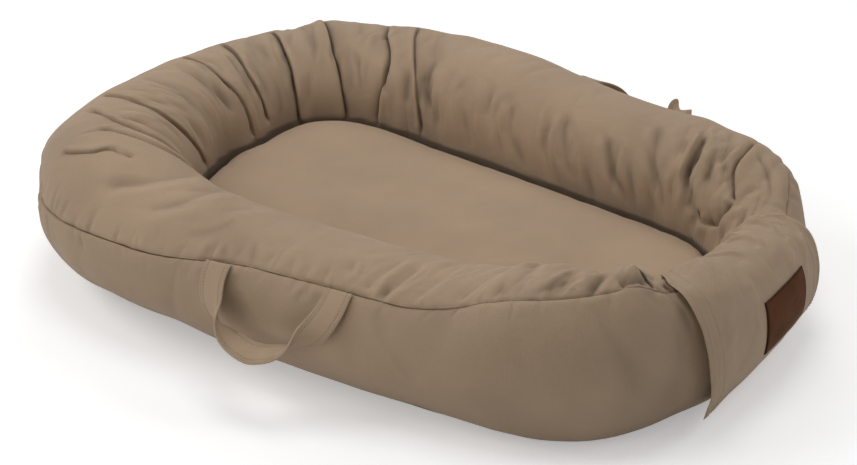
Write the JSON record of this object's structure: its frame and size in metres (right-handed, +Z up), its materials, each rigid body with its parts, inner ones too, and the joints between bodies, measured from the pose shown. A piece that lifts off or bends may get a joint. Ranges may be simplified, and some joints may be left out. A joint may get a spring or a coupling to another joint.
{
  "type": "infant lounger",
  "caption": "Padded oval nest for a baby: a filled roll round a lift-out mattress, with a carrying handle on each side and a flap over the foot end.",
  "frame": {"origin": "on the surface it stands on, under the middle of the bounding box", "axes": "+X from the head end to the foot end, +Y to the far side of the picture, +Z up"},
  "size_m": [0.8988, 0.722, 0.1929],
  "materials": {
    "cover_cloth": "matte cotton twill",
    "panel_cloth": "matte cotton twill",
    "mattress_cloth": "matte cotton twill",
    "liner_cloth": "plain woven",
    "fibre": "loose fibre",
    "foam": "open cell foam",
    "grip": "dotted grip sheet",
    "base_padding": "padded woven panel",
    "strap": "folded and topstitched",
    "flap_cloth": "matte cotton twill",
    "loop_tape": "loop pile",
    "hook_tape": "hook tape",
    "leather": "dark brown, matte",
    "zip_tape": "woven tape",
    "zip_plastic": "moulded coil",
    "zip_metal": "satin"
  },
  "bodies": {
    "nest": {"side_band": "cover_cloth", "top_panel": "panel_cloth", "roll_liner": "liner_cloth", "roll_fibre_filling": "fibre", "grip_sheet": "grip", "base_panel": "base_padding", "flap_root": "flap_cloth", "loop_strip": "loop_tape", "zip_tape_head": "zip_tape", "zip_tape_foot": "zip_tape", "zip_coil": "zip_plastic"},
    "mattress": {"mattress_foam": "foam", "mattress_cover_top": "mattress_cloth", "mattress_cover_base": "mattress_cloth"},
    "near_handle": {"near_handle": "strap"},
    "far_handle": {"far_handle": "strap"},
    "foot_flap": {"foot_flap": "flap_cloth", "hook_strip": "hook_tape", "leather_patch": "leather"},
    "zip_slider": {"zip_slider": "zip_metal"}
  },
  "joints": [
    {"name": "mattress_lift", "type": "slide", "parent": "nest", "child": "mattress", "axis": [0, 0, 1], "range_m": [0, 0.22]},
    {"name": "near_handle_turn", "type": "hinge", "parent": "nest", "child": "near_handle", "pos_m": [0.01292, -0.2849, 0.13797], "axis": [-0.9869, -0.1609, -0.0107], "range_deg": [0, 130]},
    {"name": "far_handle_turn", "type": "hinge", "parent": "nest", "child": "far_handle", "pos_m": [0.11763, 0.2869, 0.1414], "axis": [0.9877, -0.1562, -0.0008], "range_deg": [0, 100]},
    {"name": "foot_flap_turn", "type": "hinge", "parent": "nest", "child": "foot_flap", "pos_m": [0.3377, 0.004, 0.088], "axis": [0, -1, 0], "range_deg": [0, 100]},
    {"name": "zip_run", "type": "slide", "parent": "nest", "child": "zip_slider", "axis": [0, 1, 0], "range_m": [0, 0.215]}
  ]
}
